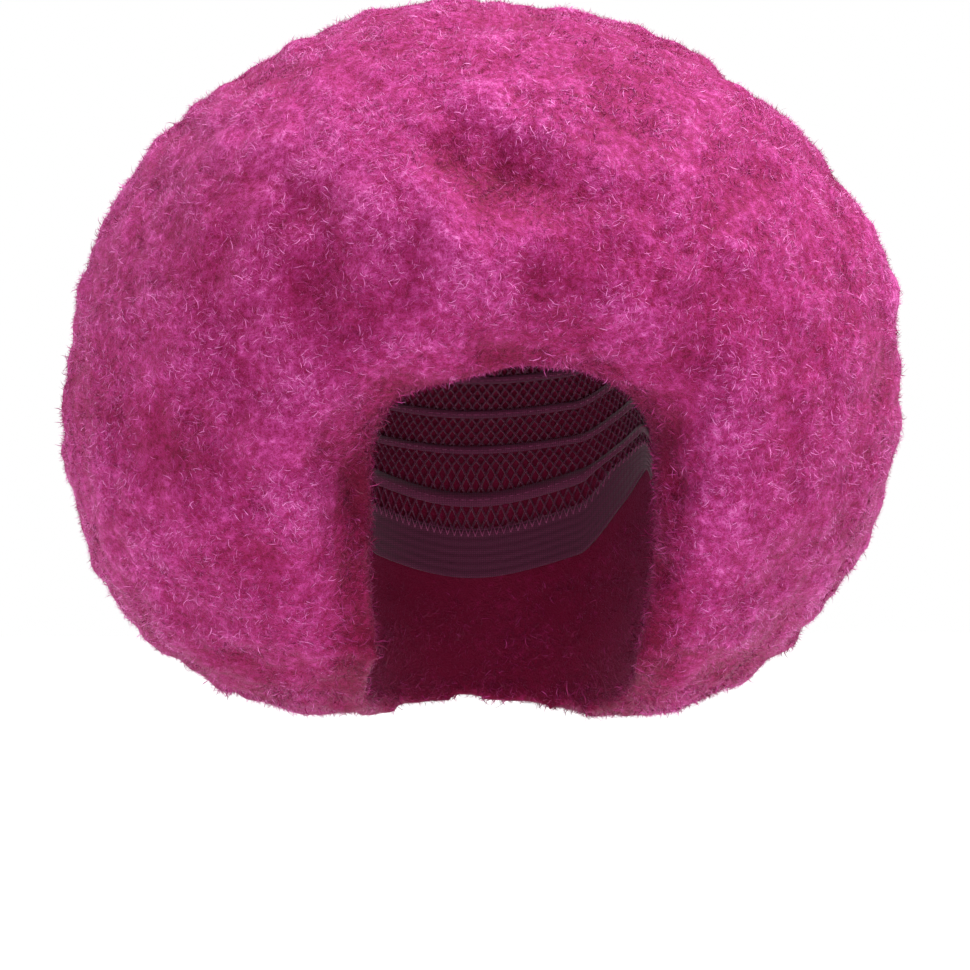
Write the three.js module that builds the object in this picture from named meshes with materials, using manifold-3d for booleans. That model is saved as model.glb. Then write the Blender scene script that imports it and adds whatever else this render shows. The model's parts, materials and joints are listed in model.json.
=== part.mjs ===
// A large round afro wig in the shape that it has on a head: a stretch cap, its edge band and the teased hair.
// Millimetres, +Z up, the open face side looks along -Y.
// The origin is inside the cap at the crown, where the top of the head touches it.
import * as THREE from "three";
import { ConvexGeometry } from "three/addons/geometries/ConvexGeometry.js";
import { mergeVertices } from "three/addons/utils/BufferGeometryUtils.js";
import Module from "manifold-3d";

// The head that the cap fits: an egg, widest one crownHeight below the crown
const headBreadth = 156;
const headLength = 196;
const crownHeight = 105;
const neckReach = 190; // from the widest level down to the egg's lower end

// Cap and band
const clothThickness = 1.5;
const bandWidth = 13;
const seamGap = 0.3; // between pieces that are sewn together

// Hair, as lengths beyond the head
const sideHair = 132;
const crownHair = 129;
const backHair = 76;
const foreheadHair = 52;
const hairDrop = 230; // from the crown down to the hem

// The opening that the face shows through
const cheekCover = 8; // hair over each edge of the face
const fringeDrop = 57; // from the crown down to the top of the fringe's arch
const archHeight = 39; // from the arch's ends up to its top
const archLean = 12; // how far its top lies to the wearer's left
const jawDrop = 150; // where the opening starts to narrow
const neckCover = 20; // hair over each edge of the head beside the neck
const rimRoll = 52; // how far from the opening the hair starts to roll in

// Locks, the teased clumps that the surface is made of
const lockCount = 520;
const lockLift = 5; // how far a tip stands above the hair round it
const lockScatter = 0.05; // how unevenly the locks stand, on a ball of radius 1

// Meshing
const roundSteps = 48;
const capRows = 9;
const neckRows = 7;

const halfBreadth = headBreadth / 2;
const halfLength = headLength / 2;
const halfWidth = halfBreadth + sideHair;
const halfHeight = (crownHair + hairDrop) / 2;
const midHeight = (crownHair - hairDrop) / 2;
const frontReach = halfLength + foreheadHair;
const backReach = halfLength + backHair;
const faceHalf = halfBreadth - cheekCover;
const neckHalf = halfBreadth - neckCover;

// The hair's outline seen from the front, turning from +X over the top: reach is a share of the half width
// and half height, behind is how far behind the head's middle it lies, as a share of halfLength, and front
// is how full the hair is before it, as a share of frontReach.
const outline = [
  { turn: 0, reach: 1.022, behind: 0.12, front: 0.86 },
  { turn: 20, reach: 1.026, behind: 0.12, front: 0.9 },
  { turn: 40, reach: 1.016, behind: 0.12, front: 0.94 },
  { turn: 60, reach: 1.024, behind: 0.14, front: 0.98 },
  { turn: 80, reach: 1.012, behind: 0.15, front: 1.0 },
  { turn: 100, reach: 1.019, behind: 0.15, front: 1.0 },
  { turn: 120, reach: 1.007, behind: 0.14, front: 0.98 },
  { turn: 140, reach: 0.995, behind: 0.12, front: 0.94 },
  { turn: 160, reach: 0.992, behind: 0.12, front: 0.9 },
  { turn: 180, reach: 1.003, behind: 0.12, front: 0.86 },
  { turn: 200, reach: 1.064, behind: 0.16, front: 0.8 },
  { turn: 220, reach: 1.120, behind: 0.25, front: 0.74 },
  { turn: 240, reach: 1.120, behind: 0.38, front: 0.7 },
  { turn: 260, reach: 1.030, behind: 0.5, front: 0.66 },
  { turn: 280, reach: 1.040, behind: 0.5, front: 0.66 },
  { turn: 300, reach: 1.123, behind: 0.38, front: 0.7 },
  { turn: 320, reach: 1.108, behind: 0.25, front: 0.74 },
  { turn: 340, reach: 1.074, behind: 0.16, front: 0.8 },
];

// How far forward the hair meets the face: drop is a share of hairDrop, reach of half the head's length
const rimLine = [
  { drop: 0.18, reach: 1.04 },
  { drop: 0.28, reach: 0.98 },
  { drop: 0.37, reach: 0.8 },
  { drop: 0.5, reach: 0.66 },
  { drop: 0.75, reach: 0.54 },
  { drop: 1.0, reach: 0.42 },
];

// The cap's edge from the forehead round to the nape: round is the angle from the front, and drop is a
// share of crownHeight below the crown. The low row in front of the ear is the ear tab.
const capEdge = [
  { round: 0, drop: 0.43 },
  { round: 30, drop: 0.45 },
  { round: 50, drop: 0.52 },
  { round: 65, drop: 0.74 },
  { round: 76, drop: 1.08 },
  { round: 84, drop: 1.16 },
  { round: 96, drop: 1.0 },
  { round: 112, drop: 1.12 },
  { round: 135, drop: 1.4 },
  { round: 180, drop: 1.56 },
];

// Dents and one ridge in the front of the hair: across and up place each, as shares of the half width and
// half height from the middle, long and short are its radii as shares of the half width, lean is how far
// its long way turns up from +X, and deep is a share of foreheadHair. A ridge has a negative depth.
const dents = [
  { name: "crown_parting", across: -0.05, up: 0.49, long: 0.17, short: 0.08, lean: -22, deep: 0.34 },
  { name: "crown_ridge", across: -0.19, up: 0.35, long: 0.2, short: 0.06, lean: -60, deep: -0.12 },
  { name: "right_temple_valley", across: -0.45, up: 0.16, long: 0.26, short: 0.08, lean: -72, deep: 0.24 },
  { name: "left_temple_valley", across: 0.38, up: -0.02, long: 0.2, short: 0.08, lean: 80, deep: 0.18 },
  { name: "fringe_hollow", across: 0.07, up: 0.2, long: 0.13, short: 0.07, lean: 10, deep: 0.16 },
  { name: "fringe_side_hollow", across: -0.25, up: 0.13, long: 0.09, short: 0.07, lean: 0, deep: 0.12 },
  { name: "right_side_hollow", across: -0.6, up: -0.08, long: 0.16, short: 0.08, lean: 12, deep: 0.14 },
  { name: "right_cheek_hollow", across: -0.79, up: -0.28, long: 0.18, short: 0.1, lean: -20, deep: 0.14 },
  { name: "right_hem_hollow", across: -0.6, up: -0.55, long: 0.1, short: 0.08, lean: 0, deep: 0.1 },
  { name: "left_hem_hollow", across: 0.66, up: -0.62, long: 0.12, short: 0.09, lean: 40, deep: 0.1 },
];

const wasm = await Module();
wasm.setup();

// A smooth value from a table whose rows stand at the values of its key column
function valueAt(rows, key, column, at, period = 0) {
  const last = rows.length - 1;
  const row = (i) => {
    if (!period) return rows[THREE.MathUtils.clamp(i, 0, last)][column];
    return rows[(i + rows.length) % rows.length][column];
  };
  const place = period ? THREE.MathUtils.euclideanModulo(at, period) : at;
  if (!period && place >= rows[last][key]) return rows[last][column];
  if (!period && place <= rows[0][key]) return rows[0][column];
  let i = rows.findIndex((r, n) => place < (n < last ? rows[n + 1][key] : Infinity));
  if (i < 0) i = last;
  const end = i < last ? rows[i + 1][key] : period;
  const t = (place - rows[i][key]) / (end - rows[i][key]);
  const slopeIn = (row(i + 1) - row(i - 1)) / 2;
  const slopeOut = (row(i + 2) - row(i)) / 2;
  const change = row(i + 1) - row(i);
  return (
    row(i) +
    t * (slopeIn + t * (3 * change - 2 * slopeIn - slopeOut + t * (slopeIn + slopeOut - 2 * change)))
  );
}

// A repeatable number from 0 to 1 for lock number i
function scatter(i, salt) {
  const s = Math.sin(i * 12.9898 + salt * 78.233) * 43758.5453;
  return s - Math.floor(s);
}

// The egg's surface, offset outwards: round is the angle from the front, polar the angle down from the crown
function eggPoint(round, polar, offset) {
  const lower = Math.cos(polar) < 0 ? neckReach : crownHeight;
  return new THREE.Vector3(
    (halfBreadth + offset) * Math.sin(polar) * Math.sin(round),
    -(halfLength + offset) * Math.sin(polar) * Math.cos(round),
    (lower + offset) * Math.cos(polar) - crownHeight,
  );
}

// The polar angle of the level that lies drop below the crown
function polarAt(drop) {
  const above = crownHeight - drop;
  return Math.acos(THREE.MathUtils.clamp(above / (above < 0 ? neckReach : crownHeight), -1, 1));
}

// The polar angle of the band's lower edge, or of a level above it
function edgePolar(round, above = 0) {
  const fromFront = Math.abs(THREE.MathUtils.radToDeg(Math.atan2(Math.sin(round), Math.cos(round))));
  return polarAt(crownHeight * valueAt(capEdge, "round", "drop", fromFront)) - above / halfLength;
}

// A closed geometry from rings of points, each ring closed on itself, with a point at each end
function ringSolid(firstPole, rings, lastPole) {
  const points = [firstPole, ...rings.flat(), lastPole];
  const steps = rings[0].length;
  const last = points.length - 1;
  const at = (ring, step) => 1 + ring * steps + (step % steps);
  const faces = [];
  for (let s = 0; s < steps; s++) {
    faces.push(0, at(0, s), at(0, s + 1));
    faces.push(last, at(rings.length - 1, s + 1), at(rings.length - 1, s));
    for (let r = 0; r < rings.length - 1; r++) {
      faces.push(at(r, s), at(r + 1, s), at(r + 1, s + 1));
      faces.push(at(r, s), at(r + 1, s + 1), at(r, s + 1));
    }
  }
  return new THREE.BufferGeometry().setFromPoints(points).setIndex(faces);
}

// A closed tube of rings, the last joined to the first
function ringLoop(rings) {
  const steps = rings[0].length;
  const at = (ring, step) => (ring % rings.length) * steps + (step % steps);
  const faces = [];
  for (let r = 0; r < rings.length; r++) {
    for (let s = 0; s < steps; s++) {
      faces.push(at(r, s), at(r + 1, s), at(r + 1, s + 1));
      faces.push(at(r, s), at(r + 1, s + 1), at(r, s + 1));
    }
  }
  return new THREE.BufferGeometry().setFromPoints(rings.flat()).setIndex(faces);
}

function ring(pointAt) {
  return Array.from({ length: roundSteps }, (_, s) => pointAt((s / roundSteps) * 2 * Math.PI));
}

function solidOf(geometry) {
  const bare = geometry.clone();
  bare.deleteAttribute("normal");
  bare.deleteAttribute("uv");
  const merged = mergeVertices(bare, 1e-3);
  const vertProperties = new Float32Array(merged.attributes.position.array);
  const triVerts = new Uint32Array(merged.index.array);
  return new wasm.Manifold(new wasm.Mesh({ numProp: 3, vertProperties, triVerts }));
}

function geometryOf(solid) {
  const mesh = solid.getMesh();
  const geometry = new THREE.BufferGeometry();
  geometry.setAttribute("position", new THREE.BufferAttribute(mesh.vertProperties, 3));
  geometry.setIndex(new THREE.BufferAttribute(mesh.triVerts, 1));
  return geometry;
}

// The cap's rings at an offset from the head, from the crown down to the seam with the band
function capRings(offset) {
  return Array.from({ length: capRows }, (_, r) =>
    ring((round) => eggPoint(round, (edgePolar(round, bandWidth + seamGap) * (r + 1)) / capRows, offset)),
  );
}

// The band's upper and lower rings at an offset from the head
function bandRings(offset) {
  return [bandWidth, 0].map((above) => ring((round) => eggPoint(round, edgePolar(round, above), offset)));
}

// The cap's cloth
function capGeometry() {
  const rings = [...capRings(clothThickness), ...capRings(0).reverse()];
  return ringSolid(eggPoint(0, 0, clothThickness), rings, eggPoint(0, 0, 0));
}

// The elastic band round the cap's edge
function bandGeometry() {
  return ringLoop([...bandRings(clothThickness), ...bandRings(0).reverse()]);
}

// How far the opening reaches to each side at a height
function openingHalf(z) {
  const narrowing = THREE.MathUtils.smoothstep(-z, jawDrop, hairDrop);
  return THREE.MathUtils.lerp(faceHalf, neckHalf, narrowing);
}

// The distance outside the face opening, seen from the front. It is negative inside. The opening has
// straight sides below an arch of two quarter ellipses, which meet at the arch's top.
function openingDistance(x, z) {
  const side = openingHalf(z) - Math.sign(x - archLean) * archLean;
  const across = Math.abs(x - archLean) / side;
  const rise = Math.max(z + fringeDrop + archHeight, 0) / archHeight;
  if (rise === 0) return (across - 1) * side;
  const out = Math.hypot(across, rise);
  return (out - 1) * THREE.MathUtils.lerp(side, archHeight, (rise / out) ** 2);
}

function dentDepth(x, z) {
  return dents.reduce((sum, dent) => {
    const lean = THREE.MathUtils.degToRad(dent.lean);
    const dx = x - dent.across * halfWidth;
    const dz = z - midHeight - dent.up * halfHeight;
    const along = (dx * Math.cos(lean) + dz * Math.sin(lean)) / (dent.long * halfWidth);
    const aside = (dz * Math.cos(lean) - dx * Math.sin(lean)) / (dent.short * halfWidth);
    return sum + dent.deep * foreheadHair * Math.exp(-along * along - aside * aside);
  }, 0);
}

// The surface that the locks' tips reach: turn is the angle seen from the front, swing runs from the
// front's middle over the widest ring to the back's middle
function hairPoint(turn, swing) {
  const degrees = THREE.MathUtils.radToDeg(turn);
  const side = (column) => valueAt(outline, "turn", column, degrees, 360);
  const spread = Math.sin(swing);
  const x = halfWidth * side("reach") * spread * Math.cos(turn);
  const z = midHeight + halfHeight * side("reach") * spread * Math.sin(turn);
  const widest = halfLength * side("behind") * spread;
  if (swing >= Math.PI / 2) {
    return new THREE.Vector3(x, widest - (backReach - widest) * Math.cos(swing), z);
  }
  const fullness = frontReach * THREE.MathUtils.lerp(1, side("front"), spread) + widest;
  const ball = widest - fullness * Math.cos(swing);
  const rim = -halfLength * valueAt(rimLine, "drop", "reach", -z / hairDrop);
  const near = THREE.MathUtils.clamp(1 - openingDistance(x, z) / rimRoll, 0, 1);
  const y = ball + dentDepth(x, z) * Math.cos(swing);
  return new THREE.Vector3(x, THREE.MathUtils.lerp(y, Math.max(rim, y), near * near), z);
}

function hairNormal(turn, swing) {
  const step = 0.02;
  const around = hairPoint(turn + step, swing).sub(hairPoint(turn - step, swing));
  const along = hairPoint(turn, swing + step).sub(hairPoint(turn, swing - step));
  return along.cross(around).normalize();
}

// The way a point lies from the ball's middle, from its turn and swing
function directionOf(turn, swing) {
  const ring = Math.sin(swing);
  return new THREE.Vector3(ring * Math.cos(turn), -Math.cos(swing), ring * Math.sin(turn));
}

// The point of the hair that lies in a direction, sunk below the surface that the tips reach
function skinPoint(direction, sink) {
  const way = direction.clone().normalize();
  const turn = Math.atan2(way.z, way.x);
  const swing = Math.acos(THREE.MathUtils.clamp(-way.y, -1, 1));
  return hairPoint(turn, swing).addScaledVector(hairNormal(turn, swing), -sink);
}

// The tips' directions, spread evenly by the golden angle and then unevenly by a little scatter
function lockDirections() {
  const goldenAngle = Math.PI * (3 - Math.sqrt(5));
  return Array.from({ length: lockCount }, (_, i) => {
    const swing = Math.acos(1 - (2 * (i + 0.5)) / lockCount);
    const loose = new THREE.Vector3(scatter(i, 1) - 0.5, scatter(i, 2) - 0.5, scatter(i, 3) - 0.5);
    return directionOf(i * goldenAngle, swing).addScaledVector(loose, lockScatter).normalize();
  });
}

// The teased hair, one skin of locks: each stands as a tip, and the hair sinks halfway to its neighbours
function teasedGeometry() {
  const ball = new ConvexGeometry(lockDirections()).attributes.position;
  const points = [];
  for (let i = 0; i < ball.count; i += 3) {
    const tips = [0, 1, 2].map((n) => new THREE.Vector3().fromBufferAttribute(ball, i + n));
    const pit = skinPoint(tips[0].clone().add(tips[1]).add(tips[2]), lockLift);
    tips.forEach((tip, n) => {
      const next = tips[(n + 1) % 3];
      const saddle = skinPoint(tip.clone().add(next), lockLift * 0.8);
      const here = skinPoint(tip, lockLift * 0.6 * scatter(tip.x * 50, tip.z));
      const there = skinPoint(next, lockLift * 0.6 * scatter(next.x * 50, next.z));
      points.push(here, saddle, pit, saddle, there, pit);
    });
  }
  return new THREE.BufferGeometry().setFromPoints(points);
}

// The room inside the hair: the head with the cap and the band on it, narrowing to the neck, and then
// straight down past the hem
function headRoom() {
  const offset = clothThickness + seamGap;
  const neckPolar = Math.PI - Math.asin(neckHalf / halfBreadth);
  const neck = Array.from({ length: neckRows }, (_, r) =>
    ring((round) => {
      const polar = THREE.MathUtils.lerp(edgePolar(round), neckPolar, (r + 1) / neckRows);
      return eggPoint(round, polar, offset);
    }),
  );
  const floor = new THREE.Vector3(0, 0, eggPoint(0, neckPolar, offset).z - hairDrop);
  const lowest = neck[neckRows - 1].map((p) => p.clone().setZ(floor.z));
  const rings = [...capRings(offset), ...bandRings(offset), ...neck, lowest];
  return ringSolid(eggPoint(0, 0, offset), rings, floor);
}

// The room in front of the face, from the head's middle out past the fringe
function faceRoom() {
  const floor = -hairDrop - rimRoll;
  const spring = -fringeDrop - archHeight;
  const steps = 6;
  const side = Array.from({ length: steps + 1 }, (_, s) => {
    const z = THREE.MathUtils.lerp(-hairDrop, -jawDrop, s / steps);
    return new THREE.Vector2(openingHalf(z), z);
  });
  const shape = new THREE.Shape();
  shape.moveTo(-neckHalf, floor);
  shape.lineTo(neckHalf, floor);
  side.forEach((p) => shape.lineTo(p.x, p.y));
  shape.lineTo(faceHalf, spring);
  shape.absellipse(archLean, spring, faceHalf - archLean, archHeight, 0, Math.PI / 2, false);
  shape.absellipse(archLean, spring, faceHalf + archLean, archHeight, Math.PI / 2, Math.PI, false);
  side.reverse().forEach((p) => shape.lineTo(-p.x, p.y));
  const settings = { depth: frontReach + rimRoll, bevelEnabled: false, curveSegments: 8 };
  return new THREE.ExtrudeGeometry(shape, settings).rotateX(Math.PI / 2);
}

function hairGeometry() {
  return geometryOf(solidOf(teasedGeometry()).subtract(solidOf(headRoom())).subtract(solidOf(faceRoom())));
}

const hairMaterial = new THREE.MeshStandardMaterial({ color: 0xb5327f, roughness: 0.85, metalness: 0 });
const netMaterial = new THREE.MeshStandardMaterial({ color: 0x4a1838, roughness: 0.8, metalness: 0 });
const bandMaterial = new THREE.MeshStandardMaterial({ color: 0x2e1024, roughness: 0.75, metalness: 0 });

function piece(name, geometry, material) {
  const mesh = new THREE.Mesh(geometry, material);
  mesh.name = name;
  return mesh;
}

const wig = new THREE.Group();
wig.add(
  piece("cap", capGeometry(), netMaterial),
  piece("cap_band", bandGeometry(), bandMaterial),
  piece("hair", hairGeometry(), hairMaterial),
);

export default wig;
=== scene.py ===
# A large round afro wig in its worn shape: teased curly hair on a stretch net cap with an elastic edge
import bpy
import bmesh
import json
import math
from mathutils import Matrix, Vector, noise

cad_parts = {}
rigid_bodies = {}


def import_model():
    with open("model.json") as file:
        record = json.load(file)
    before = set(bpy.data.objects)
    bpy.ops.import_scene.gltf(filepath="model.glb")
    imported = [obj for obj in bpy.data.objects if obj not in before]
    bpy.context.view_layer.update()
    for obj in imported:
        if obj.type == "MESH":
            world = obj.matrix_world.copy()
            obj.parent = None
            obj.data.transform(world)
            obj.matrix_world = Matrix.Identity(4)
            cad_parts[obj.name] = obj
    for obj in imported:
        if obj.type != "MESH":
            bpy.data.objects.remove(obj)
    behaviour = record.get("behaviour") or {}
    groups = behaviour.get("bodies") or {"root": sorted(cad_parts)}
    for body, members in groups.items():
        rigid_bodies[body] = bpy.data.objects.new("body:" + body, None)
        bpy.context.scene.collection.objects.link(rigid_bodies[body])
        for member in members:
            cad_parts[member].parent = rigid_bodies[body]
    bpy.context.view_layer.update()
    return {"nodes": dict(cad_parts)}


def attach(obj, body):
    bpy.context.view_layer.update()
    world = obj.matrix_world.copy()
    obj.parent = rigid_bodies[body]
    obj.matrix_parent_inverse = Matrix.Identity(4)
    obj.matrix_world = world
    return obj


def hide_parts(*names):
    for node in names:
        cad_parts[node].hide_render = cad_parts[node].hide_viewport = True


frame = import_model()
scene = bpy.context.scene
scene.view_settings.view_transform = "Standard"
print("wig: frame loaded")

# the camera: degrees round from the front, and metres. Width is what it shows at the hollow's middle
shot = {
    "azimuth": -8,
    "distance": 2.3,
    "across": -0.0065,
    "height": -0.113,
    "width": 0.485,
    "sensor": 36,  # in millimetres
    "clip": (0.05, 50),
}

# the room inside the cap: an egg, widest at middle, in metres
hollow = {
    "halfBreadth": 0.078,
    "halfLength": 0.098,
    "middle": -0.105,
    "upper": 0.105,
    "lower": 0.190,
}


def eggAt(turn, polar, out):
    # a point out from the egg's surface: turn goes round from the front, polar down from the crown
    reach = hollow["upper"] if math.cos(polar) > 0 else hollow["lower"]
    return Vector((
        (hollow["halfBreadth"] + out) * math.sin(polar) * math.sin(turn),
        -(hollow["halfLength"] + out) * math.sin(polar) * math.cos(turn),
        (reach + out) * math.cos(polar) + hollow["middle"],
    ))


def eggScaled(point):
    # the point in a space where the egg is a ball of radius 1, and the egg's half lengths there
    z = point.z - hollow["middle"]
    reach = hollow["upper"] if z > 0 else hollow["lower"]
    semi = Vector((hollow["halfBreadth"], hollow["halfLength"], reach))
    return Vector((point.x / semi.x, point.y / semi.y, z / semi.z)), semi


def eggGap(point):
    # how far a point lies outside the egg, and which way is out
    scaled, semi = eggScaled(point)
    size = max(scaled.length, 1e-6)
    slope = Vector((scaled.x / semi.x, scaled.y / semi.y, scaled.z / semi.z)) / size
    return (size - 1) / slope.length, slope.normalized()


def polarOf(scaled):
    # how far down from the crown a scaled point lies, as an angle
    return math.acos(max(-1, min(1, scaled.z / scaled.length)))


def between(low, high, value):
    # 0 below low, 1 above high and a soft step from one to the other
    t = min(max((value - low) / (high - low), 0), 1)
    return t * t * (3 - 2 * t)


# helpers for meshes
weld = 1e-5  # corners nearer to each other than this are joined


def meshFrom(bm, name):
    mesh = bpy.data.meshes.new(name)
    bm.to_mesh(mesh)
    bm.free()
    return mesh


def objectFrom(mesh, name):
    piece = bpy.data.objects.new(name, mesh)
    scene.collection.objects.link(piece)
    return piece


def appliedMesh(piece, name):
    # the piece as its modifiers leave it, as a plain mesh
    bpy.context.view_layer.update()
    graph = bpy.context.evaluated_depsgraph_get()
    mesh = bpy.data.meshes.new_from_object(
        piece.evaluated_get(graph), preserve_all_data_layers=True, depsgraph=graph)
    mesh.name = name
    bpy.data.objects.remove(piece)
    return mesh


def nodeCopy(node):
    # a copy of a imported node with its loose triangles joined
    bm = bmesh.new()
    bm.from_mesh(frame["nodes"][node].data)
    bmesh.ops.remove_doubles(bm, verts=bm.verts, dist=weld)
    return bm


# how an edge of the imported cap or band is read: in steps all round, from the corners on its inner side
edges = {
    "steps": 48,
    "tolerance": 0.004,  # how far off the hollow a corner may lie, as a share of its radius
    "crownHole": 0.1,  # corners this near the crown have no turn of their own
    "back": range(20, 29),  # the steps round the back, where the edge has no corner
    "easings": 6,
}


def edgeOf(node, lower):
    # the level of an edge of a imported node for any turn, on a curve through the steps
    levels = {}
    stepAngle = 360 / edges["steps"]
    bm = nodeCopy(node)
    for v in bm.verts:
        scaled = eggScaled(v.co)[0]
        nearCrown = Vector((scaled.x, scaled.y)).length < edges["crownHole"]
        if nearCrown or abs(scaled.length - 1) > edges["tolerance"]:
            continue
        step = round(math.degrees(math.atan2(scaled.x, -scaled.y)) / stepAngle) % edges["steps"]
        polar = polarOf(scaled)
        levels[step] = (max if lower else min)(levels.get(step, polar), polar)
    bm.free()
    for i in range(edges["easings"]):
        levels.update({
            step: (levels[step - 1] + 2 * levels[step] + levels[step + 1]) / 4 for step in edges["back"]})

    def at(turn):
        place = math.degrees(turn) / stepAngle
        step = math.floor(place)
        a, b, c, d = (levels[(step + k) % edges["steps"]] for k in (-1, 0, 1, 2))
        t = place - step
        return b + t * (
            (c - a) / 2 + t * (a - 2.5 * b + 2 * c - d / 2 + t * (1.5 * (b - c) + (d - a) / 2)))
    return at


netEdge = edgeOf("cap", True)
bandTop = edgeOf("cap_band", False)
bandFoot = edgeOf("cap_band", True)


def smoothFaces(bm):
    for face in bm.faces:
        face.smooth = True


def finished(piece, material=None):
    if material is not None:
        piece.data.materials.clear()
        piece.data.materials.append(material)
    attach(piece, "root")
    return piece


# helpers for node trees
def addNode(tree, kind, inputs=None, **settings):
    node = tree.nodes.new(kind)
    for key, value in settings.items():
        setattr(node, key, value)
    for key, value in (inputs or {}).items():
        if isinstance(value, bpy.types.NodeSocket):
            tree.links.new(value, node.inputs[key])
        else:
            node.inputs[key].default_value = value
    return node


def maths(tree, operation, *values):
    return addNode(tree, "ShaderNodeMath", dict(enumerate(values)), operation=operation).outputs[0]


def colourOf(red, green, blue):
    # a colour as a screen shows it, made linear
    def linear(c):
        c = c / 255
        return c / 12.92 if c <= 0.04045 else ((c + 0.055) / 1.055) ** 2.4
    return (linear(red), linear(green), linear(blue), 1)


def ramp(tree, factor, stops):
    node = addNode(tree, "ShaderNodeValToRGB", {"Fac": factor})
    elements = node.color_ramp.elements
    while len(elements) < len(stops):
        elements.new(0.5)
    for element, (place, colour) in zip(elements, stops):
        element.position = place
        element.color = colour
    return node.outputs["Color"]


def attribute(tree, name):
    return addNode(tree, "ShaderNodeAttribute", attribute_name=name).outputs["Fac"]


def shaderMaterial(name, roughness, sheen=0.0, specular=0.5):
    material = bpy.data.materials.new(name)
    material.use_nodes = True
    tree = material.node_tree
    shader = tree.nodes["Principled BSDF"]
    shader.inputs["Roughness"].default_value = roughness
    shader.inputs["Sheen Weight"].default_value = sheen
    shader.inputs["Specular IOR Level"].default_value = specular
    return material, tree, shader


# finish of the hair
hairLook = {
    "tones": [(104, 4, 38), (132, 16, 67), (154, 34, 98), (188, 65, 141), (229, 130, 197)],  # dark to light
    "shine": (1.0, 0.5, 0.85, 1),
    "bloom": (1.0, 0.4, 0.82, 1),
    "patchSize": 0.05,
    "patchShare": 0.4,
    "bundleSize": 0.0045,
    "bundleShare": 0.75,
    "toneRoughness": 0.55,
    "curlShare": 0.56,
    "glintShare": 0.2,
    "glintPower": 6.0,  # the higher, the fewer strands get a painted glint
    # painted shade in the hollows and painted light on the tops of the hair
    "heightShare": 0.5,
    # painted shade beside the opening and at the hem
    "paintedShadeShare": 0.46,
    "tipPaintedLight": 0.36,
    "tipPaintedLightStart": 0.35,  # from here up a strand is painted lighter towards its tip, and below it painted darker
    "woolShade": 0.31,
    "threads": [0.0034, 0.0025, 0.0018],  # how far apart the wool's fine threads lie, one layer each
    "threadNoise": {"Detail": 1.0, "Roughness": 0.4},
    "threadHalf": 0.0002,
    "threadFloor": 0.12,  # how light the gaps between the threads are, more in each further layer
    "threadShare": 0.6,
    "fuzzShare": 0.5,
    "fuzzScale": 450.0,
    "curlFinish": {"roughness": 0.42, "sheen": 0.19, "specular": 0.35},
    "woolFinish": {"roughness": 0.6, "sheen": 0.1, "specular": 0.2},
    "woolBump": {"Strength": 0.6, "Distance": 0.0008},
}


def makeHairTone():
    # colour of the hair at a point: slow patches, small bundles, each curl's own tone, painted shade in the
    # hollows between tufts and painted light on their tops, and painted shade beside the opening and at the
    # hem
    tree = bpy.data.node_groups.new("hairTone", "ShaderNodeTree")
    for name in ("Curl Tone", "Height", "Painted Shade"):
        tree.interface.new_socket(name, in_out="INPUT", socket_type="NodeSocketFloat")
    tree.interface.new_socket("Colour", in_out="OUTPUT", socket_type="NodeSocketColor")
    entry = tree.nodes.new("NodeGroupInput").outputs
    leave = tree.nodes.new("NodeGroupOutput")
    place = addNode(tree, "ShaderNodeTexCoord").outputs["Object"]

    def noiseOf(size, detail):
        return addNode(tree, "ShaderNodeTexNoise", {
            "Vector": place, "Scale": 1 / size, "Detail": detail, "Roughness": hairLook["toneRoughness"],
        }).outputs["Fac"]
    tone = 0.5
    for value, share in (
            (noiseOf(hairLook["patchSize"], 3.0), hairLook["patchShare"]),
            (noiseOf(hairLook["bundleSize"], 1.0), hairLook["bundleShare"]),
            (entry["Curl Tone"], hairLook["curlShare"]),
            (entry["Height"], hairLook["heightShare"])):
        tone = maths(tree, "MULTIPLY_ADD", maths(tree, "SUBTRACT", value, 0.5), share, tone)
    # painted shade beside the opening and at the hem darkens the tone
    tone = maths(tree, "MULTIPLY_ADD", entry["Painted Shade"], -hairLook["paintedShadeShare"], tone)
    tones = hairLook["tones"]
    colour = ramp(tree, tone, [(i / (len(tones) - 1), colourOf(*tones[i])) for i in range(len(tones))])
    tree.links.new(colour, leave.inputs["Colour"])
    return tree


hairTone = makeHairTone()


def toneOf(tree, curlTone, height):
    group = addNode(tree, "ShaderNodeGroup", node_tree=hairTone)
    tree.links.new(curlTone, group.inputs["Curl Tone"])
    tree.links.new(height, group.inputs["Height"])
    # root holds the painted shade beside the opening and at the hem
    tree.links.new(attribute(tree, "root"), group.inputs["Painted Shade"])
    return group.outputs["Colour"]


def hairMaterial(name, finish):
    material, tree, shader = shaderMaterial(name, **finish)
    shader.inputs["Specular Tint"].default_value = hairLook["shine"]
    shader.inputs["Sheen Tint"].default_value = hairLook["bloom"]
    return material, tree, shader


def makeCurlMaterial():
    # a strand has painted shade at its root and painted light towards its tip, and a few strands get a
    # painted glint
    material, tree, shader = hairMaterial("curlyHair", hairLook["curlFinish"])
    tip = maths(tree, "SUBTRACT", attribute(tree, "along"), hairLook["tipPaintedLightStart"])
    risen = maths(tree, "MULTIPLY_ADD", tip, hairLook["tipPaintedLight"] / hairLook["heightShare"],
                  attribute(tree, "height"))
    tone = attribute(tree, "tone")
    glint = maths(tree, "POWER", tone, hairLook["glintPower"])
    tone = maths(tree, "MULTIPLY_ADD", glint, hairLook["glintShare"] / hairLook["curlShare"], tone)
    tree.links.new(toneOf(tree, tone, risen), shader.inputs["Base Color"])
    return material


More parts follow.
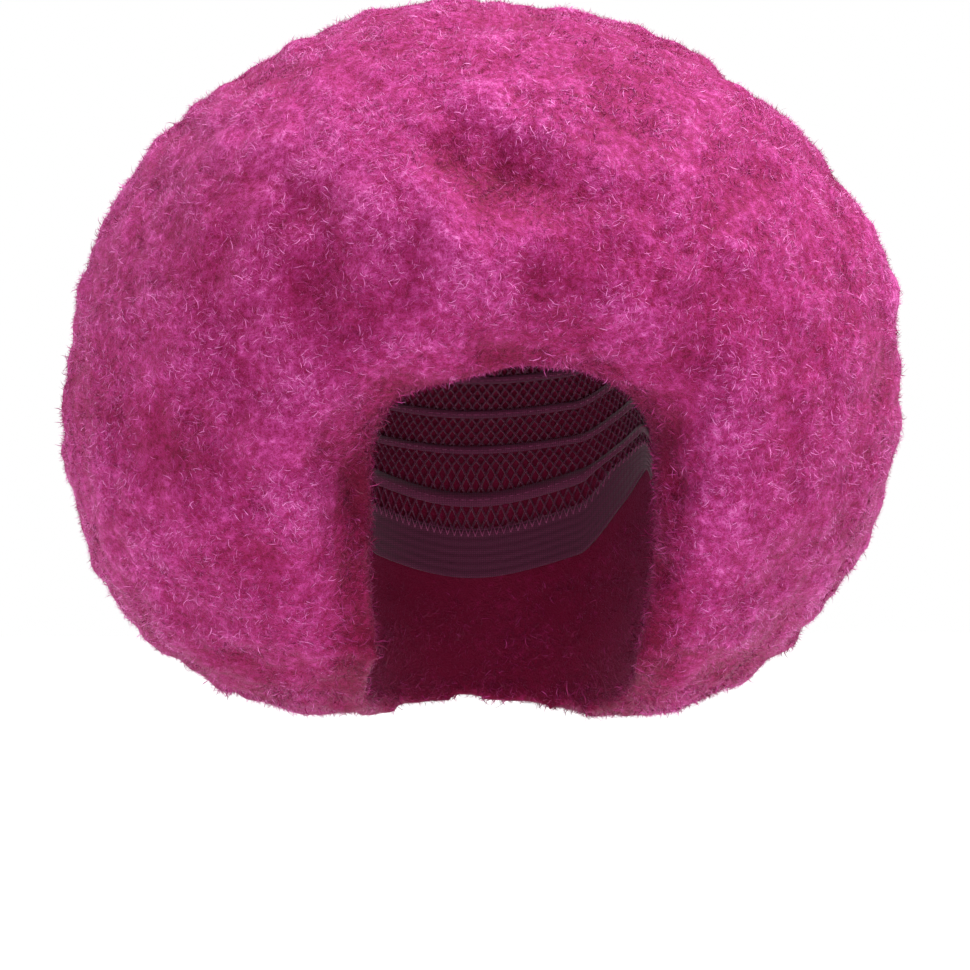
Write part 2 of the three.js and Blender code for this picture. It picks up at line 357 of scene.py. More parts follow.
def makeMassMaterial():
    # the wool under the curls: fine threads that wind across each other, in layers. A layer's threads are
    # the lines where its noise is 0.5
    material, tree, shader = hairMaterial("woollyHair", hairLook["woolFinish"])
    place = addNode(tree, "ShaderNodeTexCoord").outputs["Object"]
    wool = None
    for layer, size in enumerate(hairLook["threads"]):
        shifted = addNode(
            tree, "ShaderNodeVectorMath", {0: place, 1: (layer, layer, layer)}, operation="ADD")
        level = addNode(tree, "ShaderNodeTexNoise", {
            "Vector": shifted.outputs[0], "Scale": 1 / size, **hairLook["threadNoise"],
        }).outputs["Fac"]
        off = maths(tree, "ABSOLUTE", maths(tree, "SUBTRACT", level, 0.5))
        thread = maths(tree, "MULTIPLY_ADD", off, -size / hairLook["threadHalf"], 1.0)
        thread = maths(tree, "MAXIMUM", thread, hairLook["threadFloor"] * layer)
        wool = thread if wool is None else maths(tree, "MAXIMUM", wool, thread)
    fuzz = addNode(tree, "ShaderNodeTexNoise", {
        "Vector": place, "Scale": hairLook["fuzzScale"], "Detail": 2.0,
    }).outputs["Fac"]
    fuzz = maths(tree, "MULTIPLY", fuzz, hairLook["fuzzShare"])
    wool = maths(tree, "MULTIPLY_ADD", wool, hairLook["threadShare"], fuzz)
    shaded = maths(tree, "SUBTRACT", wool, hairLook["woolShade"])
    tree.links.new(toneOf(tree, shaded, attribute(tree, "height")), shader.inputs["Base Color"])
    bump = addNode(tree, "ShaderNodeBump", {**hairLook["woolBump"], "Height": wool})
    tree.links.new(bump.outputs["Normal"], shader.inputs["Normal"])
    return material


curlMaterial = makeCurlMaterial()
massMaterial = makeMassMaterial()

# the mass of the hair, everything that the curls grow from
mass = {
    "voxel": 0.0045,
    "smoothing": 5,
    "outerBand": 0.03,  # hair further out than this is smoothed more
    "outerSmoothing": 14,
    "tuftSize": 0.018,
    "tuftHalf": 0.55,  # a tuft stands up to here from its middle, as a share of its size
    "tuftSwell": 1.6,
    "tuftRise": 0.0018,
    "rimTufts": 0.9,  # how much higher the tufts stand where the hair faces sideways
    "lumpSize": 0.05,
    "lumpRise": 0.003,
    "lumpDetail": (0.7, 2.1, 3),  # the noise's increment, lacunarity and octaves
    "innerBand": 0.006,  # hair nearer the hollow than this keeps its wall
    "fadeIn": 0.01,  # the tufts have their full height this much further out
    "capRoom": 0.0026,
    "lean": -0.0065,  # the outer hair leans along X, in full from leanReach out
    "leanReach": 0.06,
    "corner": (-0.05, -0.078),  # the fringe rises at this corner of the opening, as seen in the shot
    "cornerReach": 0.022,
    "cornerRise": 0.005,
    "reliefs": [  # smoothing steps to the hair round a point, and the rise over it from the darkest painted shade to the lightest painted light
        {"steps": 20, "rise": 0.011},
        {"steps": 140, "rise": 0.034},
    ],
    "heights": (0.15, 0.85),
    # painted shade beside the opening and at the hem
    "paintedShadeStart": 0.004,
    "paintedShadeReach": 0.042,
    "paintedShadeDepths": (0.01, 0.08),  # below the crown: the painted shade beside the opening starts at the first and is in full at the second
    "hemPaintedShade": 0.3,  # how much painted shade the hem gets, as a share of the darkest beside the opening
    "hemDepths": (0.15, 0.22),
    "frontDepth": 0.05,  # how far forward a point lies when it has the front's folds in full
    "foldRise": 0.0035,
    # how much the folds' rise paints shade into the folds and light onto the ridges
    "foldPaintedShading": 0.26,
    "backFoldSize": 0.06,  # the unseen side has folds of its own, from a slow noise
    "backFold": 0.75,
    "backFoldDetail": (0.9, 2.0, 2),
}
# where the front is parted and where it stands up, as seen in the shot: the line of each, across and up in
# metres, how far it reaches to the sides, and its rise
# the rise dents the hair and also paints shade into the folds and light onto the ridges
folds = [
    {"line": [(-0.02, 0.048), (0.003, 0.03), (0.038, 0.04)], "reach": 0.018, "rise": -0.5},
    {"line": [(-0.083, 0.02), (-0.077, -0.005), (-0.064, -0.043)], "reach": 0.019, "rise": -0.5},
    {"line": [(-0.045, -0.01), (-0.035, -0.028)], "reach": 0.016, "rise": -0.6},
    {"line": [(0.028, -0.014), (0.042, -0.017)], "reach": 0.017, "rise": -0.6},
    {"line": [(0.068, 0.015), (0.108, -0.02), (0.102, -0.06)], "reach": 0.024, "rise": -0.7},
    {"line": [(-0.188, -0.07), (-0.15, -0.095)], "reach": 0.03, "rise": -0.4},
    {"line": [(-0.155, 0.03), (-0.142, -0.035)], "reach": 0.022, "rise": -0.3},
    {"line": [(-0.125, -0.145), (-0.105, -0.15)], "reach": 0.02, "rise": -0.5},
    {"line": [(-0.018, -0.032), (-0.015, -0.036)], "reach": 0.02, "rise": -0.3},
    # along the opening's left edge: a deep dent with painted shade
    {"line": [(-0.069, -0.105), (-0.067, -0.215)], "reach": 0.017, "rise": -1.0},
    {"line": [(-0.026, 0.03), (-0.012, 0.005), (0.008, -0.016)], "reach": 0.011, "rise": 0.7},
    {"line": [(-0.065, 0.012), (-0.058, -0.002)], "reach": 0.019, "rise": 0.6},
    {"line": [(-0.15, 0.045), (-0.11, 0.04)], "reach": 0.03, "rise": 0.5},
    {"line": [(-0.098, 0.052), (-0.06, 0.042)], "reach": 0.026, "rise": 0.8},
    {"line": [(-0.025, 0.078), (0.0, 0.078)], "reach": 0.018, "rise": 0.6},
    {"line": [(0.01, 0.012), (0.013, 0.006)], "reach": 0.011, "rise": 0.3},
    {"line": [(-0.145, -0.13), (-0.138, -0.14)], "reach": 0.02, "rise": 0.4},
    {"line": [(0.127, -0.125), (0.13, -0.15)], "reach": 0.022, "rise": 0.4},
]


def tuftAt(point, facing):
    # how far the teasing lifts the hair there
    nearest = noise.voronoi(point / mass["tuftSize"])[0][0]
    lump = noise.fractal(point / mass["lumpSize"], *mass["lumpDetail"])
    rise = mass["tuftRise"] * (1 + mass["rimTufts"] * (1 - abs(facing.y)))
    return (mass["tuftHalf"] - nearest) * mass["tuftSwell"] * rise + lump * mass["lumpRise"]


def seenAt(point):
    # the point as the shot shows it, across and up in metres, and how far it comes forward
    turn = math.radians(shot["azimuth"])
    forward = point.x * math.sin(turn) - point.y * math.cos(turn)
    closer = shot["distance"] / (shot["distance"] - forward)
    across = point.x * math.cos(turn) + point.y * math.sin(turn)
    return Vector((across * closer, (point.z - shot["height"]) * closer + shot["height"])), forward


def foldAt(point):
    # how deep the point lies in the folds, below 0, or how high on the ridges, above 0
    seen, forward = seenAt(point)
    nearness = between(0, mass["frontDepth"], forward)
    behind = noise.fractal(point / mass["backFoldSize"], *mass["backFoldDetail"])
    behind = behind * mass["backFold"] * (1 - nearness)
    if nearness == 0:
        return behind
    total = 0
    for fold in folds:
        corners = [Vector(corner) for corner in fold["line"]]
        away = 1
        for start, end in zip(corners, corners[1:]):
            share = min(max((seen - start).dot(end - start) / (end - start).length_squared, 0), 1)
            away = min(away, (seen - start.lerp(end, share)).length)
        total += fold["rise"] * math.exp(-(away / fold["reach"]) ** 2)
    return total * nearness + behind


def smoothed(bm, times, verts=None):
    for i in range(times):
        bmesh.ops.smooth_vert(
            bm, verts=verts or bm.verts, factor=0.5, use_axis_x=True, use_axis_y=True, use_axis_z=True)
    bm.normal_update()


def makeMass():
    rough = objectFrom(meshFrom(nodeCopy("hair"), "hairRough"), "hairRough")
    remesh = rough.modifiers.new("remesh", "REMESH")
    remesh.mode = "VOXEL"
    remesh.voxel_size = mass["voxel"]
    mesh = appliedMesh(rough, "hairMass")
    bm = bmesh.new()
    bm.from_mesh(mesh)
    smoothed(bm, mass["smoothing"])
    outer = [v for v in bm.verts if eggGap(v.co)[0] > mass["outerBand"]]
    smoothed(bm, mass["outerSmoothing"], outer)
    folded = [foldAt(v.co) for v in bm.verts]
    for v, fold in zip(bm.verts, folded):
        gap = eggGap(v.co)[0]
        if gap > mass["innerBand"]:
            rise = tuftAt(v.co, v.normal) + fold * mass["foldRise"]
            v.co += v.normal * rise * min((gap - mass["innerBand"]) / mass["fadeIn"], 1)
            v.co.x += mass["lean"] * between(mass["innerBand"], mass["leanReach"], gap)
        seen, forward = seenAt(v.co)
        if forward > 0:
            away = (seen - Vector(mass["corner"])).length / mass["cornerReach"]
            v.co.z += mass["cornerRise"] * math.exp(-away ** 2) * between(0, mass["frontDepth"], forward)
    for v in bm.verts:
        gap, out = eggGap(v.co)
        if gap < mass["capRoom"]:
            v.co += out * (mass["capRoom"] - gap)
    bm.normal_update()
    # height says how far the hair stands above the hair round it, for painted shade in the hollows and
    # painted light on the tops, and root says how near the opening it is, for painted shade there and at
    # the hem
    shape = [(v.co.copy(), v.normal.copy()) for v in bm.verts]
    height = bm.verts.layers.float.new("height")
    root = bm.verts.layers.float.new("root")
    for v in bm.verts:
        v[height] = 0.5
    for relief in mass["reliefs"]:
        smoothed(bm, relief["steps"])
        for v, (place, out) in zip(bm.verts, shape):
            v[height] += (place - v.co).dot(out) / relief["rise"]
    lowest, highest = mass["heights"]
    for v, (place, _), fold in zip(bm.verts, shape, folded):
        v[height] = min(max(v[height], lowest), highest) + fold * mass["foldPaintedShading"]
        # painted shade beside the opening, below the fringe, and at the hem
        beside = 1 - between(mass["paintedShadeStart"], mass["paintedShadeReach"], eggGap(place)[0])
        hem = mass["hemPaintedShade"] * between(*mass["hemDepths"], -place.z)
        v[root] = max(beside * between(*mass["paintedShadeDepths"], -place.z), hem)
        v.co = place
    smoothFaces(bm)
    bm.to_mesh(mesh)
    bm.free()
    piece = finished(objectFrom(mesh, "hairMass"), massMaterial)
    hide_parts("hair")
    return piece


hairMass = makeMass()
print("wig: hair mass,", len(hairMass.data.polygons), "faces")

# the curls over the mass: short hairs that stand up a little, and longer bent ones that lie over
curls = {
    "kinds": [
        {"count": 6, "length": 0.0038, "width": 0.00038, "bend": 0.7, "droop": -0.34, "steps": 1},
        {"count": 4, "length": 0.006, "width": 0.0004, "bend": 1.6, "droop": 0.25, "steps": 3},
    ],
    "density": 790000,
    "shortest": 0.5,
    "longest": 1.15,
    "lift": 0.5,
    "sweep": 1.9,
    "stray": 0.6,
    "flowSize": 0.026,
    "flowNoise": {"Detail": 3.0, "Roughness": 0.6},
    "flowSwing": 2.4,
    "rises": (0.18, 0.95),  # how flat and how upright a strand may stand
    "roll": 0.8,
    "lyingSize": 1.15,
    "standingLoss": 0.9,  # the more a strand stands up, the shorter it is
    "tones": (0.15, 1.0),
    "sink": 0.0004,
    "roundness": 0.35,  # how much of a strand's own facing its shading keeps
    "capReach": 0.009,  # no curls grow this near the hollow under the cap, or a little below its band
    "capMargin": 0.05,
    "firstSeed": 11,
    "weld": 1e-6,
}


def strandMesh(name, kind, bend):
    # a strand from a grid one face wide: it grows up Z, faces +Y, turns as it grows and ends in a point
    bm = bmesh.new()
    steps = max(1, kind["steps"] - (abs(bend) < kind["bend"] / 2))
    bmesh.ops.create_grid(bm, x_segments=1, y_segments=steps, size=0.5)
    along = bm.verts.layers.float.new("along")
    for v in bm.verts:
        t = v.co.y + 0.5
        heading = bend * t
        side = v.co.x * kind["width"] * (1 - t ** 3)
        across = (1 - math.cos(heading)) / bend * kind["length"] + side * math.cos(heading)
        up = math.sin(heading) / bend * kind["length"] - side * math.sin(heading)
        v[along] = t
        v.co = Vector((across, -kind["droop"] * t * t * kind["length"], up))
    bmesh.ops.remove_doubles(bm, verts=bm.verts, dist=curls["weld"])
    mesh = meshFrom(bm, name)
    mesh.materials.append(curlMaterial)
    return mesh


def makeStrandShapes():
    shapes = bpy.data.collections.new("strandShapes")
    for kind in curls["kinds"]:
        for i in range(kind["count"]):
            bend = kind["bend"] * (2 * (i + 0.5) / kind["count"] - 1)
            name = "strand%d" % len(shapes.objects)
            shapes.objects.link(bpy.data.objects.new(name, strandMesh(name, kind, bend)))
    return shapes


growth = ("density", "shortest", "longest", "lift", "sweep", "stray")  # what a habit of growing says


def makeGrowCurls(shapes):
    # plants strands on a mesh: each leans with a slow flow over the hair and strays from it at random
    tree = bpy.data.node_groups.new("growCurls", "GeometryNodeTree")
    tree.interface.new_socket("Geometry", in_out="INPUT", socket_type="NodeSocketGeometry")
    for key in growth:
        tree.interface.new_socket(key.capitalize(), in_out="INPUT", socket_type="NodeSocketFloat")
    tree.interface.new_socket("Seed", in_out="INPUT", socket_type="NodeSocketInt")
    tree.interface.new_socket("Geometry", in_out="OUTPUT", socket_type="NodeSocketGeometry")
    entry = tree.nodes.new("NodeGroupInput").outputs
    leave = tree.nodes.new("NodeGroupOutput")

    def vector(operation, inputs):
        return addNode(tree, "ShaderNodeVectorMath", inputs, operation=operation).outputs["Vector"]

    def scaled(value, scale):
        return vector("SCALE", {0: value, "Scale": scale})

    def added(a, b):
        return vector("ADD", {0: a, 1: b})

    def chance(kind, low, high, salt):
        first, last, result = {"FLOAT_VECTOR": (0, 1, 0), "FLOAT": (2, 3, 1), "INT": (4, 5, 2)}[kind]
        seed = maths(tree, "ADD", entry["Seed"], float(salt))
        inputs = {first: low, last: high, "Seed": seed}
        return addNode(tree, "FunctionNodeRandomValue", inputs, data_type=kind).outputs[result]

    def stored(geometry, name, value, kind):
        return addNode(tree, "GeometryNodeStoreNamedAttribute", {
            "Geometry": geometry, "Name": name, "Value": value,
        }, data_type=kind, domain="INSTANCE").outputs[0]

    planted = addNode(tree, "GeometryNodeDistributePointsOnFaces", {
        "Mesh": entry["Geometry"], "Density": entry["Density"], "Seed": entry["Seed"],
    })
    out = planted.outputs["Normal"]
    place = addNode(tree, "GeometryNodeInputPosition").outputs[0]
    flow = addNode(tree, "ShaderNodeTexNoise", {
        "Vector": place, "Scale": 1 / curls["flowSize"], **curls["flowNoise"],
    }).outputs["Color"]
    flow = scaled(vector("SUBTRACT", {0: flow, 1: (0.5, 0.5, 0.5)}), curls["flowSwing"])
    way = added(scaled(out, entry["Lift"]), scaled(flow, entry["Sweep"]))
    way = added(way, scaled(chance("FLOAT_VECTOR", (-1, -1, -1), (1, 1, 1), 1), entry["Stray"]))
    # a strand never grows back into the hair
    rise = addNode(tree, "ShaderNodeVectorMath", {0: way, 1: out}, operation="DOT_PRODUCT").outputs["Value"]
    flattest, steepest = curls["rises"]
    kept = addNode(tree, "ShaderNodeClamp", {"Value": rise, "Min": flattest, "Max": steepest}).outputs[0]
    way = added(way, scaled(out, maths(tree, "SUBTRACT", kept, rise)))
    standing = addNode(tree, "FunctionNodeAlignRotationToVector", {"Vector": way}, axis="Z").outputs[0]
    facing = addNode(tree, "FunctionNodeAlignRotationToVector", {
        "Rotation": standing, "Vector": out,
    }, axis="Y", pivot_axis="Z").outputs[0]
    roll = addNode(tree, "FunctionNodeAxisAngleToRotation", {
        "Axis": (0, 0, 1), "Angle": chance("FLOAT", -curls["roll"], curls["roll"], 2),
    }).outputs[0]
    turned = addNode(tree, "FunctionNodeRotateRotation", {
        "Rotation": facing, "Rotate By": roll,
    }, rotation_space="LOCAL").outputs[0]
    sunk = addNode(tree, "GeometryNodeSetPosition", {
        "Geometry": planted.outputs["Points"], "Offset": scaled(out, -curls["sink"]),
    }).outputs[0]
    shape = addNode(tree, "GeometryNodeCollectionInfo", {
        "Collection": shapes, "Separate Children": True, "Reset Children": True,
    }).outputs[0]
    size = maths(tree, "MULTIPLY", chance("FLOAT", entry["Shortest"], entry["Longest"], 4),
                 maths(tree, "MULTIPLY_ADD", kept, -curls["standingLoss"], curls["lyingSize"]))
    strands = addNode(tree, "GeometryNodeInstanceOnPoints", {
        "Points": sunk, "Instance": shape, "Pick Instance": True,
        "Instance Index": chance("INT", 0, len(shapes.objects) - 1, 3), "Rotation": turned, "Scale": size,
    }).outputs[0]
    strands = stored(strands, "tone", chance("FLOAT", *curls["tones"], 5), "FLOAT")
    strands = stored(strands, "out", out, "FLOAT_VECTOR")
    real = addNode(tree, "GeometryNodeRealizeInstances", {"Geometry": strands}).outputs[0]
    base = addNode(
        tree, "GeometryNodeInputNamedAttribute", {"Name": "out"}, data_type="FLOAT_VECTOR").outputs[0]
    own = addNode(tree, "GeometryNodeInputNormal").outputs[0]
    eased = added(scaled(base, 1 - curls["roundness"]), scaled(own, curls["roundness"]))
    smooth = addNode(tree, "GeometryNodeSetMeshNormal", {
        "Mesh": real, "Custom Normal": vector("NORMALIZE", {0: eased}),
    }, mode="FREE", domain="POINT")
    tree.links.new(smooth.outputs[0], leave.inputs[0])
    return tree


growCurls = makeGrowCurls(makeStrandShapes())


def underCap(point):
    # where the cap and its band lie on the hair's inner wall
    scaled = eggScaled(point)[0]
    lowest = bandFoot(math.atan2(scaled.x, -scaled.y)) + curls["capMargin"]
    return eggGap(point)[0] < curls["capReach"] and polarOf(scaled) < lowest


def growOn(name, keeps, habit, seed):
    # strands of one habit on the faces of the mass whose middle the test keeps
    settings = {key.capitalize(): float(habit[key]) for key in growth}
    settings["Seed"] = seed
    bm = bmesh.new()
    bm.from_mesh(hairMass.data)
    bare = [face for face in bm.faces if not keeps(face.calc_center_median())]
    bmesh.ops.delete(bm, geom=bare, context="FACES")
    area = sum(face.calc_area() for face in bm.faces)
    soil = objectFrom(meshFrom(bm, name + "Soil"), name + "Soil")
    grow = soil.modifiers.new("grow", "NODES")
    grow.node_group = growCurls
    for item in growCurls.interface.items_tree:
        if item.in_out == "INPUT" and item.name in settings:
            grow[item.identifier] = settings[item.name]
    piece = finished(objectFrom(appliedMesh(soil, name), name))
    print("wig:", name, "on %.3f square metres," % area, len(piece.data.polygons), "faces")


hairCentre = Vector((0, 0.015, -0.05))
curlRegions = [  # piece, and the sector that it covers, in degrees from the front
    {"name": "curlsFront", "start": -50, "end": 50},
    {"name": "curlsLeft", "start": 50, "end": 108},
    {"name": "curlsBackLeft", "start": 108, "end": 181},
    {"name": "curlsBackRight", "start": -181, "end": -108},
    {"name": "curlsRight", "start": -108, "end": -50},
]


def plantCurls(region, seed):
    def keeps(point):
        around = point - hairCentre
        turn = math.degrees(math.atan2(around.x, -around.y))
        return region["start"] <= turn < region["end"] and not underCap(point)
    growOn(region["name"], keeps, curls, seed)


for number, region in enumerate(curlRegions):
    plantCurls(region, curls["firstSeed"] + number)

# loose wisps along the fringe, the edges of the opening and the hem
wisps = {
    "density": 460000,
    "hem": -0.214,
    "reach": 0.024,
    "limit": -0.03,  # the opening's edges lie forward of this and below it
    "shortest": 0.7,
    "longest": 1.7,
    "lift": 0.8,
    "sweep": 0.9,
    "stray": 0.7,
    "seed": 31,
}


def plantWisps():
    def keeps(point):
        beside = max(point.y, point.z) < wisps["limit"] and eggGap(point)[0] < wisps["reach"]
        return (beside or point.z < wisps["hem"]) and not underCap(point)
    growOn("hairlineWisps", keeps, wisps, wisps["seed"])


plantWisps()

# the cap: net below a cloth crown, rows of weft sewn to it, and an elastic band round its edge
cap = {
    "crownPolar": 0.3,
    "crownLap": 1.03,  # the crown's cloth reaches this many times as far down, over the net's upper edge
    "crownColumns": 48,
    "crownRows": 6,
    "columns": 96,
    "netRows": 24,
    "threadWidth": 0.001,
    "netOut": 0.0009,  # middle of the cloth's thickness, out from the hollow
    "crownThickness": 0.0009,
    "wefts": 8,
    "weftStart": 0.55,  # how far down the first row lies, as a share of the way between two rows
    "weftHalf": 0.0019,
    "weftThickness": 0.0008,
    "weftSink": 0.0002,
    "stitchLength": 0.0026,
    "stitchThick": 0.00045,
    "stitchPitch": 0.0052,
    "stitchOut": -0.0003,
    "stitchSides": 5,
    "stitchAhead": 0.01,  # a stitch points to where its row runs after this turn
    "stitchEnds": 0.45,  # past this share of its length from the middle, a stitch dips into the cloth
    "stitchDip": 0.4,
}
band = {
    "columns": 240,
    "ribs": 6,
    "rowsPerRib": 4,
    "ribDepth": 0.00022,
    "gathers": 120,
    "gatherDepth": 0.0002,
    "thickness": 0.0012,
    "out": 0.00075,
    "zigzagPitch": 0.0042,
    "zigzagReach": 0.0017,
    "zigzagDrop": 0.6,  # how far it goes back over the net, as a share of its reach over the elastic
    "zigzagOut": -0.0002,
}
capLook = {
    "thread": (116, 30, 74),
    "threadDark": (72, 14, 44),
    "cloth": (126, 36, 82),
    "stitch": (176, 70, 126),
    "elastic": (104, 28, 68),
    "elasticDark": (58, 12, 36),
    "sheen": 0.2,
    "specular": 0.25,
    "waveScale": 0.314,  # a wave texture of this scale has one band to the metre
    "waves": {"Distortion": 1.5, "Detail": 1.0, "Detail Scale": 2.0},
    "fuzz": {"Scale": 1400.0, "Detail": 2.0},
    "fuzzShare": 0.5,
    "loopShare": 0.5,
    "shadeStops": (0.15, 0.75),  # the cloth is darkest below the first tone and lightest above the second
    "bump": {"Strength": 0.5, "Distance": 0.0004},
}


def wrapped(columns, rows, place):
    # a grid bent round the hollow: place gives a point for a turn and a share of the way down
    bm = bmesh.new()
    bmesh.ops.create_grid(bm, x_segments=columns, y_segments=rows, size=0.5)
    for v in bm.verts:
        v.co = place((v.co.x + 0.5) * 2 * math.pi, 0.5 - v.co.y)
    bmesh.ops.remove_doubles(bm, verts=bm.verts, dist=weld)
    for face in bm.faces:
        if face.normal.dot(eggGap(face.calc_center_median())[1]) < 0:
            face.normal_flip()
    smoothFaces(bm)
    return bm


def solidified(bm, name, thickness):
    sheet = objectFrom(meshFrom(bm, name), name)
    wall = sheet.modifiers.new("wall", "SOLIDIFY")
    wall.thickness = thickness
    wall.offset = 0
    return objectFrom(appliedMesh(sheet, name), name)


def clothMaterial(name, light, dark, size, roughness=0.75):
    # fine knitted loops: two crossed waves and a fuzz, from a dark to a light shade of the cap
    material, tree, shader = shaderMaterial(name, roughness, capLook["sheen"], capLook["specular"])
    place = addNode(tree, "ShaderNodeTexCoord").outputs["Object"]
    waves = [addNode(tree, "ShaderNodeTexWave", {
        "Vector": place, "Scale": capLook["waveScale"] / size, **capLook["waves"],
    }, bands_direction=way).outputs["Fac"] for way in ("X", "Z")]
    loops = maths(tree, "MULTIPLY", waves[0], waves[1])
    fuzz = addNode(tree, "ShaderNodeTexNoise", {"Vector": place, **capLook["fuzz"]}).outputs["Fac"]
    loops = maths(tree, "MULTIPLY", loops, capLook["loopShare"])
    tone = maths(tree, "MULTIPLY_ADD", fuzz, capLook["fuzzShare"], loops)
    stops = zip(capLook["shadeStops"], (colourOf(*capLook[dark]), colourOf(*capLook[light])))
    tree.links.new(ramp(tree, tone, list(stops)), shader.inputs["Base Color"])
    bump = addNode(tree, "ShaderNodeBump", {**capLook["bump"], "Height": tone})
    tree.links.new(bump.outputs["Normal"], shader.inputs["Normal"])
    return material


threadMaterial = clothMaterial("netThread", "thread", "threadDark", 0.0012)
crownMaterial = clothMaterial("crownCloth", "cloth", "threadDark", 0.0016)
weftMaterial = clothMaterial("weftTape", "cloth", "elasticDark", 0.0009)
elasticMaterial = clothMaterial("ribbedElastic", "elastic", "elasticDark", 0.001)
stitchMaterial = clothMaterial("sewingThread", "stitch", "thread", 0.0006, roughness=0.5)


def makeNet():
    def place(turn, share):
        top = cap["crownPolar"]
        return eggAt(turn, top + (netEdge(turn) - top) * share, cap["netOut"])
    bm = wrapped(cap["columns"], cap["netRows"], place)
    area = sum(face.calc_area() for face in bm.faces)
    squares = list(bm.edges)
    bmesh.ops.poke(bm, faces=bm.faces)
    inner = [edge for edge in squares if edge.is_valid and len(edge.link_faces) == 2]
    bmesh.ops.dissolve_edges(bm, edges=inner, use_verts=False)
    smoothFaces(bm)
    rough = objectFrom(meshFrom(bm, "netRough"), "netRough")
    threads = rough.modifiers.new("threads", "WIREFRAME")
    threads.thickness = cap["threadWidth"]
    threads.use_even_offset = True
    threads.use_boundary = True
    piece = finished(objectFrom(appliedMesh(rough, "netCap"), "netCap"), threadMaterial)
    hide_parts("cap")
    return piece, area


def makeCrown():
    def place(turn, share):
        return eggAt(turn, cap["crownPolar"] * cap["crownLap"] * share, cap["netOut"])
    bm = wrapped(cap["crownColumns"], cap["crownRows"], place)
    piece = solidified(bm, "crownPatch", cap["crownThickness"])
    return finished(piece, crownMaterial)


def stitch(bm, middle, way, out, length, thick):
    # one sewn stitch: a short rounded thread that lies along the cloth
    side = way.cross(out).normalized()
    turn = Matrix((side, out.normalized(), way.normalized())).transposed().to_4x4()
    made = bmesh.ops.create_cone(
        bm, cap_ends=True, segments=cap["stitchSides"], radius1=thick / 2, radius2=thick / 2, depth=length,
        matrix=Matrix.Translation(middle) @ turn)["verts"]
    for v in made:
        if abs((v.co - middle).dot(way.normalized())) > length * cap["stitchEnds"]:
            v.co -= out * thick * cap["stitchDip"]


def makeWefts():
    # rows of weft tape from the crown down to the edge, each sewn down its middle
    tapes = bmesh.new()
    stitches = bmesh.new()
    for row in range(cap["wefts"]):
        share = (row + cap["weftStart"]) / cap["wefts"]

        def level(turn):
            return cap["crownPolar"] + (netEdge(turn) - cap["crownPolar"]) * share

        def place(turn, down):
            slide = (down - 0.5) * 2 * cap["weftHalf"] / hollow["halfLength"]
            return eggAt(turn, level(turn) + slide, cap["weftThickness"] / 2 - cap["weftSink"])
        strip = meshFrom(wrapped(cap["columns"], 1, place), "strip")
        tapes.from_mesh(strip)
        bpy.data.meshes.remove(strip)
        way = 2 * math.pi * math.sin(level(math.pi)) * hollow["halfLength"]
        count = int(way / cap["stitchPitch"])
        for i in range(count):
            turn = 2 * math.pi * i / count
            here = eggAt(turn, level(turn), cap["stitchOut"])
            onward = turn + cap["stitchAhead"]
            ahead = eggAt(onward, level(onward), cap["stitchOut"])
            inward = -eggGap(here)[1]
            stitch(stitches, here, ahead - here, inward, cap["stitchLength"], cap["stitchThick"])
    tape = finished(solidified(tapes, "weftRows", cap["weftThickness"]), weftMaterial)
    smoothFaces(stitches)
    sewn = objectFrom(meshFrom(stitches, "weftStitches"), "weftStitches")
    finished(sewn, stitchMaterial)
    return tape, sewn


def makeBand():
    def place(turn, share):
        top, foot = bandTop(turn), bandFoot(turn)
        rib = math.cos(share * band["ribs"] * 2 * math.pi) * band["ribDepth"]
        gather = math.sin(turn * band["gathers"]) * band["gatherDepth"]
        return eggAt(turn, top + (foot - top) * share, band["out"] + rib + gather)
    bm = wrapped(band["columns"], band["ribs"] * band["rowsPerRib"], place)
    piece = finished(solidified(bm, "elasticBand", band["thickness"]), elasticMaterial)
    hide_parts("cap_band")
    return piece


def makeBandStitches():
    # a zigzag that holds the net to the elastic's upper edge
    bm = bmesh.new()
    count = 2 * int(math.pi * (hollow["halfBreadth"] + hollow["halfLength"]) / band["zigzagPitch"] / 2) * 2
    swing = band["zigzagReach"] / hollow["halfLength"]

    def corner(i):
        turn = 2 * math.pi * i / count
        slide = swing if i % 2 else -swing * band["zigzagDrop"]
        return eggAt(turn, bandTop(turn) + slide, band["zigzagOut"])
    for i in range(count):
        here, there = corner(i), corner(i + 1)
        middle = (here + there) / 2
        stitch(bm, middle, there - here, -eggGap(middle)[1], (there - here).length, cap["stitchThick"])
    smoothFaces(bm)
    piece = objectFrom(meshFrom(bm, "bandStitches"), "bandStitches")
    return finished(piece, stitchMaterial)


netPiece, netArea = makeNet()
crownPiece = makeCrown()
weftPieces = makeWefts()
bandPiece = makeBand()
bandSewing = makeBandStitches()
print("wig: cap and band, net area %.4f square metres" % netArea)

# room, light and camera
room = {
    "floor": -0.42,
    "size": 14.0,
    "grey": (247, 247, 248),
    "roughness": 0.9,
    "specular": 0.1,
    "glow": 0.7,
    "ambient": 0.42,
}
lights = [
    {"name": "keyLight", "place": (1.15, -0.6, 2.25), "target": (0, 0, -0.05), "size": 1.2, "power": 117},
    {"name": "rimLight", "place": (-1.9, 0.4, 1.1), "target": (0, 0, -0.05), "size": 1.2, "power": 28},
    {"name": "frontLight", "place": (-0.7, -2.6, 0.1), "target": (0, 0, -0.1), "size": 1.2, "power": 8},
]


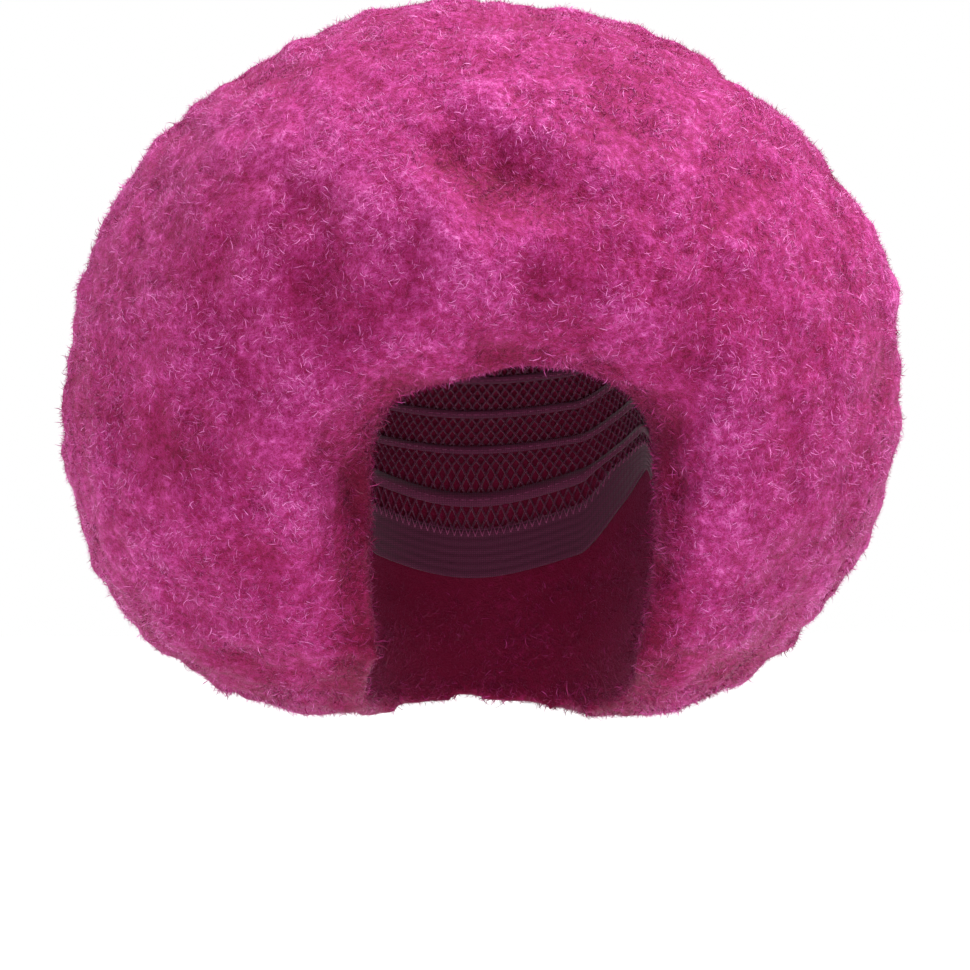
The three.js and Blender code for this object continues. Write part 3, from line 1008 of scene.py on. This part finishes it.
def makeRoom():
    bm = bmesh.new()
    bmesh.ops.create_grid(bm, x_segments=1, y_segments=1, size=room["size"] / 2)
    bmesh.ops.translate(bm, verts=bm.verts, vec=(0, 0, room["floor"]))
    floor = objectFrom(meshFrom(bm, "floor"), "floor")
    # the floor glows for the camera alone, so that it runs into the white behind it
    material, tree, shader = shaderMaterial("paleFloor", room["roughness"], specular=room["specular"])
    shader.inputs["Base Color"].default_value = colourOf(*room["grey"])
    shader.inputs["Emission Color"].default_value = (1, 1, 1, 1)
    straight = addNode(tree, "ShaderNodeLightPath").outputs["Is Camera Ray"]
    tree.links.new(maths(tree, "MULTIPLY", straight, room["glow"]), shader.inputs["Emission Strength"])
    floor.data.materials.append(material)
    # a white background that lights the room less than it shows
    world = bpy.data.worlds.new("studio")
    world.use_nodes = True
    tree = world.node_tree
    background = tree.nodes["Background"]
    background.inputs["Color"].default_value = (1, 1, 1, 1)
    seen = addNode(tree, "ShaderNodeLightPath").outputs["Is Camera Ray"]
    strength = maths(tree, "MULTIPLY_ADD", seen, 1 - room["ambient"], room["ambient"])
    tree.links.new(strength, background.inputs["Strength"])
    scene.world = world


def makeLight(light):
    data = bpy.data.lights.new(light["name"], "AREA")
    data.size = light["size"]
    data.energy = light["power"]
    lamp = bpy.data.objects.new(light["name"], data)
    lamp.location = light["place"]
    aim = Vector(light["target"]) - Vector(light["place"])
    lamp.rotation_euler = aim.to_track_quat("-Z", "Y").to_euler()
    scene.collection.objects.link(lamp)


makeRoom()
for light in lights:
    makeLight(light)


def makeCamera():
    turn = math.radians(shot["azimuth"])
    data = bpy.data.cameras.new("camera")
    data.sensor_width = shot["sensor"]
    data.lens = shot["sensor"] / 2 / (shot["width"] / 2 / shot["distance"])
    data.clip_start, data.clip_end = shot["clip"]
    camera = bpy.data.objects.new("camera", data)
    back = Vector((math.sin(turn), -math.cos(turn), 0)) * shot["distance"]
    aside = Vector((math.cos(turn), math.sin(turn), 0)) * shot["across"]
    camera.location = back + aside + Vector((0, 0, shot["height"]))
    camera.rotation_euler = (math.pi / 2, 0, turn)
    scene.collection.objects.link(camera)
    scene.camera = camera


makeCamera()
print("wig: room, light and camera")
